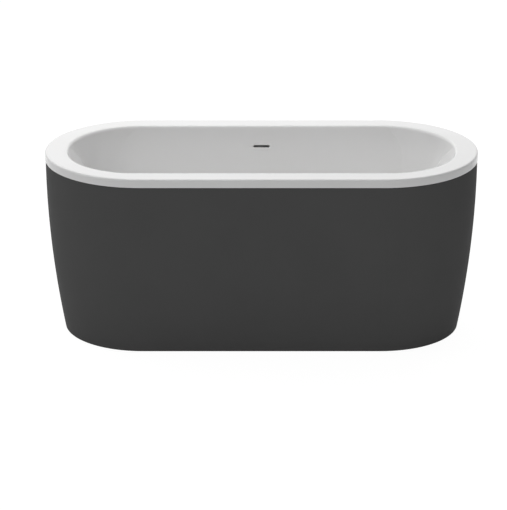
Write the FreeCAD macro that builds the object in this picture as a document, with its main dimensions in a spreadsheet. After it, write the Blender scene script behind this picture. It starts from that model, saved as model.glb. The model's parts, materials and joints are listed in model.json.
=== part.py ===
import FreeCAD, Part
import math
import os
import Sketcher

# Freestanding bathtub: an obround acrylic tub with a flat rim and a turned-down lip, inside a
# separate skirt panel that curves in towards the floor, on a steel cradle with four screw feet.
# Millimetres. Origin on the floor under the middle of the tub, +X along the tub, +Y towards the
# side that has the overflow, +Z up.

V = FreeCAD.Vector
UP = V(0, 0, 1)

SIZES = [
    # Overall form of the tub
    ("tub_length", 1500, "length over the rim"),
    ("tub_width", 680, "width over the rim"),
    ("tub_height", 644, "floor to the top of the rim"),
    ("rim_width", 76, "width of the flat rim"),
    ("rim_thickness", 6, "thickness of the rim"),
    ("lip_depth", 30, "height of the turned-down lip"),
    ("lip_wall", 6, "thickness of the lip"),
    ("shell_wall", 6, "thickness of the basin walls"),
    ("floor_thickness", 8, "thickness of the basin floor"),
    ("rim_outer_radius", 7, "rounding of the rim's outer top edge"),
    ("rim_inner_radius", 10, "rounding of the rim into the basin"),
    ("lip_edge_radius", 2, "rounding of the lip's lower edge"),
    # Basin sections from the rim down to the floor
    ("basin_floor_height", 190, "floor of the room to the basin floor"),
    ("side_draw", 69, "how far each side draws in by the basin floor"),
    ("opening_flat", 8, "short straight at each end of the opening"),
    ("shoulder_depth", 35, "depth of the shoulder section"),
    ("shoulder_draw", 22, "how far each end draws in by the shoulder"),
    ("shoulder_tuck", 86, "half the opening's width down to the corner size at the shoulder"),
    ("back_depth", 115, "depth of the backrest section"),
    ("back_draw", 58, "how far each end draws in by the backrest"),
    ("back_corner", 116, "corner size at the backrest"),
    ("hip_depth", 270, "depth of the hip section"),
    ("hip_draw", 122, "how far each end draws in by the hips"),
    ("hip_corner", 84, "corner size at the hips"),
    ("floor_draw", 204, "how far each end draws in by the basin floor"),
    ("floor_corner", 96, "corner size at the basin floor"),
    ("floor_fillet", 58, "rounding between floor and walls"),
    ("corner_ease", 1.25, "radius of an upper corner over its size, above 1 leaves a soft crease"),
    ("hip_ease", 1.1, "radius of a hip corner over its size"),
    # Overflow slot in the +Y wall
    ("slot_drop", 72, "top of the rim down to the middle of the slot"),
    ("slot_length", 57, "overflow slot length"),
    ("slot_height", 8.5, "overflow slot height"),
    ("slot_rounding", 1.5, "rounding of the slot's edge in the basin"),
    # Skirt panel and what holds it to the rim
    ("skirt_reveal", 1.5, "step from the lip's face in to the skirt"),
    ("skirt_wall", 5, "skirt thickness"),
    ("skirt_inset", 55, "how far the skirt draws in from top to bottom"),
    ("skirt_floor_gap", 2, "clearance from the skirt to the floor"),
    ("flange_width", 30, "inward flange along the top of the skirt"),
    ("seal_thickness", 2, "rim seal thickness"),
    ("seal_width", 7, "rim seal width"),
    ("batten_width", 24, "rim batten across the flange"),
    ("batten_length", 90, "rim batten along the flange"),
    ("batten_setback", 4, "rim batten behind the lip"),
    ("batten_pitch", 300, "spacing of the long-side battens"),
    ("flange_screw_head", 4.5, "radius of a flange screw's head"),
    ("flange_screw_shank", 2, "radius of a flange screw's shank"),
    ("flange_screw_grip", 14, "length of a flange screw inside its batten"),
    ("flange_screw_spacing", 46, "distance between the two screws of a batten"),
    ("screw_head_height", 3, "height of the screws' heads"),
    # Base board and steel cradle
    ("board_overhang", 5, "base board past the crossbars"),
    ("board_width", 260, "base board width"),
    ("board_thickness", 18, "base board thickness"),
    ("board_corner", 12, "base board corner radius"),
    ("board_hole", 59, "radius of the hole for the waste"),
    ("tube_size", 30, "side of the square frame tube"),
    ("tube_wall", 2, "wall of the frame tube"),
    ("tube_corner", 3, "outer corner radius of the frame tube"),
    ("crossbar_setback", 30, "start of the rounded end back to the middle of a crossbar"),
    ("rail_spacing", 190, "distance between the long rails"),
    ("tie_spacing", 280, "distance between the ties"),
    ("cap_plate", 3, "thickness of a tube cap's plate"),
    ("cap_plug", 12, "length of a tube cap's plug"),
    ("cap_clearance", 0.1, "play between a cap's plug and the tube"),
    ("cradle_screw_shank", 2.4, "radius of a cradle screw's shank"),
    ("cradle_screw_head", 5, "radius of a cradle screw's head"),
    ("cradle_screw_grip", 12, "length of a cradle screw in the board"),
    ("cradle_screw_spacing", 110, "distance between the screws of a crossbar"),
    # Feet
    ("foot_setback", 55.35, "axis of a foot in from its crossbar's end"),
    ("rod_radius", 6, "radius of the foot rod"),
    ("thread_clearance", 0.05, "radial play between rod and nut"),
    ("bar_hole_play", 0.6, "radial play between rod and crossbar"),
    ("nut_flats", 19, "nut size across the flats"),
    ("nut_height", 10, "nut height"),
    ("rod_stand", 12, "height of the rod's lower end"),
    ("rod_tail", 24, "rod length above the upper nut"),
    ("collar_flats", 17, "size across the flats of the rod's turning collar"),
    ("collar_height", 8, "height of the turning collar"),
    ("collar_gap", 0.4, "gap between the collar and the foot pad"),
    ("pad_radius", 25, "radius of the foot pad"),
    ("pad_edge", 6, "height of the foot pad's edge"),
    ("pad_height", 24, "height of the foot pad"),
    ("pad_hub", 13, "radius of the foot pad's hub"),
    ("pad_sweep", 20, "radius of the hollow between the pad's edge and hub"),
    ("pad_ribs", 8, "number of ribs round the foot pad's hub"),
    ("pad_rib_width", 2.2, "width of a foot pad's rib"),
    ("pad_rib_drop", 3, "top of the hub down to the top of the ribs"),
    ("pad_rib_inset", 3, "edge of the pad in to the foot of the ribs"),
    ("socket_play", 0.25, "play round the rod in its pad"),
    # Buffers between crossbar and skirt
    ("buffer_width", 44, "width of a skirt buffer"),
    ("buffer_height", 36, "height of a skirt buffer"),
    ("buffer_depth", 11, "thickness of a skirt buffer at its lower edge"),
    # Waste fitting
    ("flange_radius", 35, "radius of the waste flange"),
    ("flange_thickness", 3, "thickness of the waste flange"),
    ("flange_dish", 2.4, "depth of the dish in the waste flange"),
    ("recess_play", 0.5, "play round the waste flange in its recess"),
    ("gasket_thickness", 1, "thickness of the upper waste gasket"),
    ("tail_radius", 24, "outer radius of the waste tailpiece"),
    ("tail_wall", 3, "wall of the waste tailpiece"),
    ("tail_length", 34, "tailpiece length below the flange"),
    ("floor_hole_play", 1, "play round the tailpiece in the basin floor"),
    ("lower_gasket", 3, "thickness of the lower waste gasket"),
    ("hub_radius", 8, "radius of the strainer's hub"),
    ("hub_height", 12, "height of the strainer's hub"),
    ("hub_drop", 9, "dish down to the top of the strainer"),
    ("dish_margin", 1.5, "edge of the dish outside the plug cap"),
    ("arm_width", 3.5, "width of a strainer arm"),
    ("plug_radius", 31, "radius of the plug cap"),
    ("plug_edge", 2.6, "edge thickness of the plug cap"),
    ("plug_dome", 2, "rise of the plug cap's dome"),
    ("plug_rounding", 1, "rounding of the plug cap's top edge"),
    ("plug_gap", 0.3, "play between the closed plug and the flange"),
    ("spindle_radius", 4, "radius of the plug spindle"),
    ("plug_boss_radius", 7, "radius of the boss under the plug cap"),
    ("plug_boss_drop", 5, "how far the boss reaches below the rim of the waste"),
    ("plug_travel", 9, "how far the plug rises"),
    ("spindle_collar", 3, "thickness of the collar that stops the spindle"),
    ("spindle_collar_radius", 6, "radius of the collar that stops the spindle"),
    ("seal_margin", 1.5, "plug seal in from the cap's edge and from the tailpiece"),
    ("spindle_play", 0.06, "radial play of the spindle in the strainer hub"),
    ("body_radius", 28, "outer radius of the waste body"),
    ("body_flange", 36, "radius of the waste body's flange"),
    ("body_flange_thickness", 4, "thickness of the waste body's flange"),
    ("body_length", 84, "length of the waste body"),
    ("inlet_drop", 65, "top of the waste body down to the overflow inlet's axis"),
    ("inlet_reach", 62, "reach of the overflow inlet from the waste's axis"),
    ("outlet_radius", 22, "outer radius of the waste body's outlet"),
    ("outlet_wall", 3, "wall of the waste body's outlet"),
    ("outlet_length", 23, "length of the waste body's outlet"),
    ("body_ribs", 6, "number of ribs under the waste body's flange"),
    ("body_rib_width", 2.5, "width of a rib under the flange"),
    ("body_rib_height", 14, "height of a rib under the flange"),
    # Overflow channel
    ("box_width", 84, "width of the overflow box"),
    ("box_height", 66, "height of the overflow box"),
    ("box_depth", 40, "depth of the overflow box"),
    ("box_wall", 3, "wall of the overflow box"),
    ("box_flange", 10, "width of the overflow box's flange"),
    ("box_corner", 10, "corner radius of the overflow box"),
    ("box_back_radius", 4, "rounding of the overflow box's back"),
    ("box_above_slot", 20, "slot's middle to the top of the overflow box"),
    ("bond_thickness", 1.5, "thickness of the overflow box's gasket"),
    ("hose_radius", 13, "outer radius of the overflow hose"),
    ("hose_wall", 2, "wall of the overflow hose"),
    ("hose_bend", 70, "bend radius of the overflow hose"),
    ("spigot_length", 28, "length of the overflow spigot"),
    ("spigot_grip", 12, "how far the hose goes into each spigot"),
    ("spigot_play", 0.2, "play round the hose in its spigots"),
    ("spigot_wall", 2.5, "wall of the overflow spigots"),
    ("hose_nut_radius", 19.5, "radius of the hose nuts"),
    ("hose_nut_length", 22, "length of the hose nuts"),
    ("nut_lip", 4, "thickness of the inward lip of the union nuts"),
    ("nut_play", 0.1, "play round the union nuts"),
    ("union_seal", 1.5, "thickness of the union seals"),
    ("grip_count", 12, "number of grip ribs round a nut"),
    ("grip_width", 3, "width of a grip rib"),
    ("grip_height", 1.2, "how far a grip rib stands out"),
    # Trap
    ("trap_radius", 44, "outer radius of the trap's cup"),
    ("trap_wall", 3, "wall of the trap"),
    ("trap_height", 56, "height of the trap's cup"),
    ("trap_shoulder", 6, "rounding of the trap's cup"),
    ("trap_neck", 18, "height of the trap's neck"),
    ("trap_grip", 15, "how far the waste body's outlet goes into the neck"),
    ("dip_depth", 34, "how far the dip tube reaches into the cup"),
    ("trap_outlet_rise", 32, "underside of the trap's cup to the outlet's axis"),
    ("trap_outlet_reach", 96, "reach of the trap outlet from the waste's axis"),
    ("pipe_radius", 20, "radius of the waste pipe that the outlet takes"),
    ("pipe_play", 0.25, "radial play of the waste pipe in the outlet"),
    ("pipe_socket", 30, "depth of the outlet's socket"),
    ("trap_nut_wall", 5, "wall of the trap's nuts"),
    ("trap_nut_length", 20, "length of the trap's nuts"),
    ("trap_cap_height", 6, "height of the trap's cleaning cap"),
]

doc = FreeCAD.newDocument("freestanding_bathtub")
sheet = doc.addObject("Spreadsheet::Sheet", "Sizes")
for line, (alias, size, note) in enumerate(SIZES, start=1):
    sheet.set("A%d" % line, alias)
    sheet.set("B%d" % line, str(size))
    sheet.set("C%d" % line, note)
    sheet.setAlias("B%d" % line, alias)
doc.recompute()


# ---------------------------------------------------------------- lengths tied to the sheet

class Term:
    """A length: its present number, and the formula on the sheet that gives it."""

    def __init__(self, number, formula):
        self.number = number
        self.formula = formula

    def __add__(self, other):
        return Term(self.number + number(other), "(%s + %s)" % (self.formula, formula(other)))

    def __sub__(self, other):
        return Term(self.number - number(other), "(%s - %s)" % (self.formula, formula(other)))

    def __rsub__(self, other):
        return Term(number(other) - self.number, "(%s - %s)" % (formula(other), self.formula))

    def __mul__(self, other):
        return Term(self.number * number(other), "(%s * %s)" % (self.formula, formula(other)))

    def __truediv__(self, other):
        return Term(self.number / number(other), "(%s / %s)" % (self.formula, formula(other)))

    def __rtruediv__(self, other):
        return Term(number(other) / self.number, "(%s / %s)" % (formula(other), self.formula))

    def __neg__(self):
        return Term(-self.number, "(0 - %s)" % self.formula)

    __radd__ = __add__
    __rmul__ = __mul__


def number(length):
    return length.number if isinstance(length, Term) else length


def formula(length):
    return length.formula if isinstance(length, Term) else repr(length)


def root(length):
    return Term(math.sqrt(length.number), "sqrt(%s)" % length.formula)


class Sheet:
    """Gives each alias of the sheet as a Term."""

    def __getattr__(self, alias):
        return Term(getattr(sheet, alias), "Sizes." + alias)


size = Sheet()


# ---------------------------------------------------------------- drawing and feature helpers

cuts = []


def bind(item, path, length):
    item.setExpression(path, formula(length))


def place(item, x=0, y=0, z=0):
    for axis, length in (("x", x), ("y", y), ("z", z)):
        bind(item, "Placement.Base." + axis, length)


def new_body(label, x=0, y=0, z=0):
    body = doc.addObject("PartDesign::Body", label)
    body.Label = label
    body.AllowCompound = True
    place(body, x, y, z)
    return body


def origin_feature(body, role):
    return next(item for item in body.Origin.OriginFeatures if item.Role == role)


def sketch(body, name, role="XY_Plane", level=0, shift=0):
    """A sketch on one of the body's origin planes, moved out by level and along its own x by shift."""
    drawing = body.newObject("Sketcher::SketchObject", name)
    drawing.AttachmentSupport = [(origin_feature(body, role), "")]
    drawing.MapMode = "FlatFace"
    bind(drawing, "AttachmentOffset.Base.z", level)
    bind(drawing, "AttachmentOffset.Base.x", shift)
    return drawing


def hold(drawing, constraint, length):
    """Adds a dimension to a sketch and ties it to the sheet."""
    index = drawing.addConstraint(constraint)
    drawing.renameConstraint(index, "size%d" % index)
    drawing.setExpression("Constraints.size%d" % index, formula(length))


def pin(drawing, edge, end, x, y):
    """Fixes an end of an edge, or a centre, at x and y from the sketch's origin."""
    for kind, base_line, length in (("DistanceX", -2, x), ("DistanceY", -1, y)):
        if isinstance(length, Term):
            hold(drawing, Sketcher.Constraint(kind, -1, 1, edge, end, length.number), length)
        else:
            drawing.addConstraint(Sketcher.Constraint("PointOnObject", edge, end, base_line))


def arc_between(start, stop, radius):
    """The short arc from start to stop; a positive radius has its centre on the left."""
    chord = stop - start
    rise = math.sqrt(radius * radius - chord.Length * chord.Length / 4)
    left = V(-chord.y, chord.x, 0).normalize()
    centre = (start + stop) / 2 + left * math.copysign(rise, radius)
    first, last = (start, stop) if radius > 0 else (stop, start)
    begin = math.atan2(first.y - centre.y, first.x - centre.x)
    finish = math.atan2(last.y - centre.y, last.x - centre.x)
    if finish < begin:
        finish += 2 * math.pi
    return Part.ArcOfCircle(Part.Circle(centre, UP, abs(radius)), begin, finish)


def outline(drawing, corners, bends=None, closed=True):
    """Lines through the corners; bends gives some of them the radius of an arc instead, positive
    where its centre is on the left of the way round."""
    bends = bends or {}
    points = [V(number(x), number(y), 0) for x, y in corners]
    base = drawing.GeometryCount
    edges = len(points) if closed else len(points) - 1
    ends = []
    for i in range(edges):
        start, stop = points[i], points[(i + 1) % len(points)]
        if i in bends:
            drawing.addGeometry(arc_between(start, stop, number(bends[i])), False)
            ends.append((1, 2) if number(bends[i]) > 0 else (2, 1))
        else:
            drawing.addGeometry(Part.LineSegment(start, stop), False)
            ends.append((1, 2))
    for i in range(edges):
        after = (i + 1) % edges
        if closed or after > i:
            join = Sketcher.Constraint("Coincident", base + i, ends[i][1], base + after, ends[after][0])
            drawing.addConstraint(join)
        pin(drawing, base + i, ends[i][0], *corners[i])
        if i in bends:
            arc_radius = bends[i] if number(bends[i]) > 0 else -bends[i]
            hold(drawing, Sketcher.Constraint("Radius", base + i, arc_radius.number), arc_radius)
    if not closed:
        pin(drawing, base + edges - 1, ends[-1][1], *corners[-1])


def circle(drawing, radius, x=0, y=0):
    ring = Part.Circle(V(number(x), number(y), 0), UP, number(radius))
    edge = drawing.addGeometry(ring, False)
    pin(drawing, edge, 3, x, y)
    hold(drawing, Sketcher.Constraint("Radius", edge, number(radius)), radius)


def stadium(drawing, half_straight, radius, y=0):
    """Two half circles joined by two straights along the sketch's x."""
    h, r, level = number(half_straight), number(radius), number(y)
    right_end = Part.ArcOfCircle(Part.Circle(V(h, level, 0), UP, r), -math.pi / 2, math.pi / 2)
    left_end = Part.ArcOfCircle(Part.Circle(V(-h, level, 0), UP, r), math.pi / 2, 3 * math.pi / 2)
    right = drawing.addGeometry(right_end, False)
    top = drawing.addGeometry(Part.LineSegment(V(h, level + r, 0), V(-h, level + r, 0)), False)
    left = drawing.addGeometry(left_end, False)
    bottom = drawing.addGeometry(Part.LineSegment(V(-h, level - r, 0), V(h, level - r, 0)), False)
    for edge, after in ((right, top), (top, left), (left, bottom), (bottom, right)):
        drawing.addConstraint(Sketcher.Constraint("Tangent", edge, 2, after, 1))
    drawing.addConstraint(Sketcher.Constraint("Equal", right, left))
    pin(drawing, right, 3, half_straight, y)
    pin(drawing, left, 3, -half_straight, y)
    hold(drawing, Sketcher.Constraint("Radius", right, r), radius)


def rounded_box(drawing, half_x, half_y, corner, x=0, y=0, ease=1):
    """A rectangle with rounded corners; ease above 1 flattens each corner's arc."""
    radius = corner * ease
    corners = [
        (x + half_x - corner, y - half_y), (x + half_x, y - half_y + corner),
        (x + half_x, y + half_y - corner), (x + half_x - corner, y + half_y),
        (x - half_x + corner, y + half_y), (x - half_x, y + half_y - corner),
        (x - half_x, y - half_y + corner), (x - half_x + corner, y - half_y),
    ]
    outline(drawing, corners, {0: radius, 2: radius, 4: radius, 6: radius})


def rectangle(drawing, low_x, low_y, high_x, high_y):
    outline(drawing, [(low_x, low_y), (high_x, low_y), (high_x, high_y), (low_x, high_y)])


def hexagon(drawing, flats, x=0, y=0):
    reach = flats / math.sqrt(3)
    corners = [
        (x + reach, y), (x + reach / 2, y + flats / 2), (x - reach / 2, y + flats / 2),
        (x - reach, y), (x - reach / 2, y - flats / 2), (x + reach / 2, y - flats / 2),
    ]
    outline(drawing, corners)


def pad(body, drawing, length, middle=False, back=False):
    feature = body.newObject("PartDesign::Pad", drawing.Name + "_pad")
    feature.Profile = drawing
    bind(feature, "Length", length)
    feature.Midplane = middle
    feature.Reversed = back
    return feature


def pocket(body, drawing, length, middle=False, back=False):
    feature = body.newObject("PartDesign::Pocket", drawing.Name + "_pocket")
    feature.Profile = drawing
    bind(feature, "Length", length)
    feature.Midplane = middle
    feature.Reversed = back
    cuts.append(feature)
    return feature


def revolve(body, drawing, angle=360, axis="V_Axis", middle=False):
    feature = body.newObject("PartDesign::Revolution", drawing.Name + "_turn")
    feature.Profile = drawing
    feature.ReferenceAxis = (drawing, [axis])
    feature.Angle = angle
    feature.Midplane = middle
    return feature


def groove(body, drawing, axis="V_Axis"):
    feature = body.newObject("PartDesign::Groove", drawing.Name + "_groove")
    feature.Profile = drawing
    feature.ReferenceAxis = (drawing, [axis])
    feature.Angle = 360
    cuts.append(feature)
    return feature


def loft(body, kind, sections, name):
    feature = body.newObject("PartDesign::" + kind, name)
    feature.Profile = sections[0]
    feature.Sections = sections[1:]
    return feature


def mirror(body, originals, role, name):
    feature = body.newObject("PartDesign::Mirrored", name)
    feature.Originals = originals
    feature.MirrorPlane = (origin_feature(body, role), [""])
    body.Tip = feature
    return feature


def around(body, originals, count, name):
    """Repeats features about the body's Z axis."""
    feature = body.newObject("PartDesign::PolarPattern", name)
    feature.Originals = originals
    feature.Axis = (origin_feature(body, "Z_Axis"), [""])
    feature.Angle = 360
    bind(feature, "Occurrences", count)
    body.Tip = feature
    return feature


def fillet(body, base, names, radius, label):
    feature = body.newObject("PartDesign::Fillet", label)
    feature.Base = (base, names)
    bind(feature, "Radius", radius)
    return feature


def level_edges(shape, height, test):
    """Names of the edges that lie at one height and whose middle passes the test."""
    names = []
    for index, edge in enumerate(shape.Edges, start=1):
        middle = edge.valueAt((edge.FirstParameter + edge.LastParameter) / 2)
        heights = [middle.z] + [corner.Z for corner in edge.Vertexes]
        if all(abs(z - height) < 0.001 for z in heights) and test(middle):
            names.append("Edge%d" % index)
    return names


# ---------------------------------------------------------------- shared places

half_straight = (size.tub_length - size.tub_width) / 2
rim_radius = size.tub_width / 2
rim_top = size.tub_height
rim_underside = rim_top - size.rim_thickness
lip_bottom = rim_top - size.lip_depth
opening_half_length = size.tub_length / 2 - size.rim_width
opening_half_width = size.tub_width / 2 - size.rim_width
floor_top = size.basin_floor_height
basin_depth = rim_top - floor_top
floor_underside = floor_top - size.floor_thickness
board_bottom = floor_underside - size.board_thickness
tube_bottom = board_bottom - size.tube_size
tube_middle = board_bottom - size.tube_size / 2
wall_draft = size.side_draw / basin_depth
skirt_top = lip_bottom - size.seal_thickness
skirt_radius = rim_radius - size.skirt_reveal
skirt_height = skirt_top - size.skirt_floor_gap
skirt_curve = (skirt_height * skirt_height + size.skirt_inset * size.skirt_inset) / (2 * size.skirt_inset)
crossbar_reach = half_straight - size.crossbar_setback


# ---------------------------------------------------------------- tub shell

def basin_sections(body, title, growth, floor_level):
    """Sections of the basin from the rim to the floor, grown outwards by one wall."""
    mouth_corner = opening_half_width - size.opening_flat / 2
    shoulder_corner = opening_half_width - size.shoulder_tuck
    stations = [
        (0, opening_half_length, mouth_corner, 1),
        (size.shoulder_depth, opening_half_length - size.shoulder_draw, shoulder_corner, size.corner_ease),
        (size.back_depth, opening_half_length - size.back_draw, size.back_corner, size.corner_ease),
        (size.hip_depth, opening_half_length - size.hip_draw, size.hip_corner, size.hip_ease),
        (rim_top - floor_level, opening_half_length - size.floor_draw, size.floor_corner, 1),
    ]
    drawings = []
    for index, (depth, half_length, corner, ease) in enumerate(stations):
        half_width = opening_half_width - depth * wall_draft
        drawing = sketch(body, "%s_section_%d" % (title, index), level=rim_top - depth)
        rounded_box(drawing, half_length + growth, half_width + growth, corner + growth, ease=ease)
        drawings.append(drawing)
    return drawings


def make_tub_shell():
    body = new_body("tub_shell")
    rim = sketch(body, "rim_outline", level=rim_underside)
    stadium(rim, half_straight, rim_radius)
    pad(body, rim, size.rim_thickness)
    lip = sketch(body, "lip_outline", level=lip_bottom)
    stadium(lip, half_straight, rim_radius)
    stadium(lip, half_straight, rim_radius - size.lip_wall)
    pad(body, lip, size.lip_depth - size.rim_thickness / 2)
    loft(body, "AdditiveLoft", basin_sections(body, "outer", size.shell_wall, floor_underside),
         "basin_outside")
    inside = loft(body, "SubtractiveLoft", basin_sections(body, "inner", 0, floor_top), "basin_inside")
    cuts.append(inside)
    doc.recompute()
    floor_edges = level_edges(inside.Shape, floor_top.number, lambda point: True)
    floor_round = fillet(body, inside, floor_edges, size.floor_fillet, "floor_rounding")
    doc.recompute()
    under_edges = level_edges(floor_round.Shape, floor_underside.number, lambda point: True)
    under_radius = size.floor_fillet + size.shell_wall
    under_round = fillet(body, floor_round, under_edges, under_radius, "floor_outer_rounding")
    doc.recompute()

    def inner_edge(point):
        return abs(point.y) < opening_half_width.number + 1 and abs(point.x) < opening_half_length.number + 1

    mouth = level_edges(under_round.Shape, rim_top.number, inner_edge)
    mouth_round = fillet(body, under_round, mouth, size.rim_inner_radius, "mouth_rounding")
    doc.recompute()

    def outer_edge(point):
        on_side = abs(abs(point.y) - rim_radius.number) < 0.01
        return on_side or abs(point.x) > size.tub_length.number / 2 - 0.01

    crown = level_edges(mouth_round.Shape, rim_top.number, outer_edge)
    crown_round = fillet(body, mouth_round, crown, size.rim_outer_radius, "crown_rounding")
    doc.recompute()
    hem = level_edges(crown_round.Shape, lip_bottom.number, outer_edge)
    fillet(body, crown_round, hem, size.lip_edge_radius, "lip_rounding")
    recess = sketch(body, "waste_recess", level=floor_top)
    circle(recess, size.flange_radius + size.recess_play)
    pocket(body, recess, size.flange_thickness + size.gasket_thickness)
    hole = sketch(body, "waste_hole", level=floor_top)
    circle(hole, size.tail_radius + size.floor_hole_play)
    pocket(body, hole, size.floor_thickness)
    slot = sketch(body, "overflow_slot", "XZ_Plane")
    stadium(slot, (size.slot_length - size.slot_height) / 2, size.slot_height / 2, rim_top - size.slot_drop)
    cut = pocket(body, slot, rim_radius - size.lip_wall * 2)
    doc.recompute()
    slot_edges = []
    for index, edge in enumerate(cut.Shape.Edges, start=1):
        box = edge.BoundBox
        near_slot = abs(box.Center.z - (rim_top - size.slot_drop).number) < size.slot_height.number
        in_basin = box.YMin > 0 and box.YMax < opening_half_width.number - 1
        if near_slot and in_basin and box.XLength < size.slot_length.number and box.YLength < 2:
            slot_edges.append("Edge%d" % index)
    fillet(body, cut, slot_edges, size.slot_rounding, "slot_edge_rounding")
    return [body]


# ---------------------------------------------------------------- skirt panel, seal and battens

def skirt_inner_face(depth):
    """Reach of the skirt's inner face at a depth below its top, from the arc that it follows."""
    inner_curve = skirt_curve - size.skirt_wall
    return skirt_radius - skirt_curve + root(inner_curve * inner_curve - depth * depth)


def skirt_profile(drawing):
    """Wall section of the skirt: a long arc that stands upright at the top, and an inward flange."""
    flange_inner = skirt_radius - size.skirt_wall - size.flange_width
    outline(drawing, [
        (skirt_radius - size.skirt_inset, size.skirt_floor_gap),
        (skirt_radius, skirt_top),
        (flange_inner, skirt_top),
        (flange_inner, skirt_top - size.skirt_wall),
        (skirt_inner_face(size.skirt_wall), skirt_top - size.skirt_wall),
        (skirt_inner_face(skirt_height), size.skirt_floor_gap),
    ], {0: skirt_curve, 4: size.skirt_wall - skirt_curve})


def make_rim_seal():
    body = new_body("rim_seal", z=skirt_top)
    ring = sketch(body, "seal_ring")
    stadium(ring, half_straight, skirt_radius - 0.5 * size.skirt_reveal)
    stadium(ring, half_straight, skirt_radius - 0.5 * size.skirt_reveal - size.seal_width)
    pad(body, ring, size.seal_thickness)
    return [body]


batten_outer = rim_radius - size.lip_wall - size.batten_setback
batten_middle = batten_outer - size.batten_width / 2
batten_half_length = size.batten_length / 2
end_batten_outer = root(batten_outer * batten_outer - batten_half_length * batten_half_length)
end_reach = half_straight + end_batten_outer - size.batten_width / 2


def batten_places():
    """Centres of the battens: three along each side and one at each end."""
    along = [(step * size.batten_pitch, side * batten_middle, False)
             for side in (1, -1) for step in (-1, 0, 1)]
    return along + [(side * end_reach, 0, True) for side in (1, -1)]


def centred_box(drawing, x, y, half_x, half_y):
    rectangle(drawing, x - half_x, y - half_y, x + half_x, y + half_y)


def make_battens():
    body = new_body("rim_battens", z=skirt_top)
    plan = sketch(body, "batten_plan")
    for x, y, across in batten_places():
        half_x, half_y = batten_half_length, size.batten_width / 2
        if across:
            half_x, half_y = half_y, half_x
        centred_box(plan, x, y, half_x, half_y)
    pad(body, plan, rim_underside - skirt_top)
    return [body]


def screw_places():
    """Two flange screws under each batten."""
    places = []
    for x, y, across in batten_places():
        for side in (1, -1):
            offset = side * size.flange_screw_spacing / 2
            places.append((x, y + offset) if across else (x + offset, y))
    return places


def make_skirt():
    body = new_body("skirt_panel")
    end = sketch(body, "skirt_end", "XZ_Plane", shift=half_straight)
    skirt_profile(end)
    end_turn = revolve(body, end, 180, middle=True)
    mirror(body, [end_turn], "YZ_Plane", "skirt_other_end")
    side = sketch(body, "skirt_side", "YZ_Plane")
    skirt_profile(side)
    side_pad = pad(body, side, half_straight * 2, middle=True)
    mirror(body, [side_pad], "XZ_Plane", "skirt_other_side")
    holes = sketch(body, "skirt_screw_holes", level=skirt_top)
    for x, y in screw_places():
        circle(holes, size.flange_screw_shank + size.nut_play, x, y)
    pocket(body, holes, size.skirt_wall)
    return [body]


def make_flange_screws():
    body = new_body("flange_screws", z=skirt_top - size.skirt_wall)
    heads = sketch(body, "screw_heads")
    shanks = sketch(body, "screw_shanks")
    for x, y in screw_places():
        circle(heads, size.flange_screw_head, x, y)
        circle(shanks, size.flange_screw_shank, x, y)
    pad(body, heads, size.screw_head_height, back=True)
    pad(body, shanks, size.skirt_wall + size.flange_screw_grip)
    return [body]


# ---------------------------------------------------------------- board and steel cradle

buffer_low = tube_middle - size.buffer_height / 2
buffer_high = tube_middle + size.buffer_height / 2
crossbar_half = skirt_inner_face(skirt_top - buffer_low) - size.buffer_depth - size.cap_plate
foot_reach = crossbar_half - size.foot_setback


def make_base_board():
    body = new_body("base_board", z=board_bottom)
    plan = sketch(body, "board_plan")
    board_reach = crossbar_reach + size.tube_size / 2 + size.board_overhang
    rounded_box(plan, board_reach, size.board_width / 2, size.board_corner)
    circle(plan, size.board_hole)
    pad(body, plan, size.board_thickness)
    return [body]


def square_tube(label, length, role, x=0, y=0):
    """A square tube centred on its place, along Y for XZ_Plane and along X for YZ_Plane."""
    body = new_body(label, x, y, tube_middle)
    half = size.tube_size / 2
    section = sketch(body, label + "_section", role)
    rounded_box(section, half, half, size.tube_corner)
    inner_corner = size.tube_corner - size.tube_wall / 2
    rounded_box(section, half - size.tube_wall, half - size.tube_wall, inner_corner)
    pad(body, section, length, middle=True)
    return body


def make_cradle():
    bodies = []
    for label, side in (("crossbar_left", -1), ("crossbar_right", 1)):
        bar = square_tube(label, crossbar_half * 2, "XZ_Plane", x=side * crossbar_reach)
        holes = sketch(bar, label + "_holes")
        for end in (-1, 1):
            circle(holes, size.rod_radius + size.bar_hole_play, 0, end * foot_reach)
            circle(holes, size.cradle_screw_shank + size.nut_play, 0, end * size.cradle_screw_spacing / 2)
        pocket(bar, holes, size.tube_size * 2, middle=True)
        bodies.append(bar)
    rail_length = 2 * crossbar_reach - size.tube_size
    for label, side in (("rail_front", -1), ("rail_back", 1)):
        bodies.append(square_tube(label, rail_length, "YZ_Plane", y=side * size.rail_spacing / 2))
    tie_length = size.rail_spacing - size.tube_size
    for label, side in (("tie_left", -1), ("tie_right", 1)):
        bodies.append(square_tube(label, tie_length, "XZ_Plane", x=side * size.tie_spacing / 2))
    return bodies


def make_tube_caps():
    body = new_body("tube_caps", z=tube_middle)
    plates = sketch(body, "cap_plates", "XZ_Plane", level=crossbar_half)
    plugs = sketch(body, "cap_plugs", "XZ_Plane", level=crossbar_half)
    plug_half = size.tube_size / 2 - size.tube_wall - size.cap_clearance
    for side in (-1, 1):
        x = side * crossbar_reach
        rounded_box(plates, size.tube_size / 2, size.tube_size / 2, size.tube_corner, x)
        rounded_box(plugs, plug_half, plug_half, size.tube_corner, x)
    features = [pad(body, plates, size.cap_plate), pad(body, plugs, size.cap_plug, back=True)]
    mirror(body, features, "XZ_Plane", "caps_other_side")
    return [body]


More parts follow.
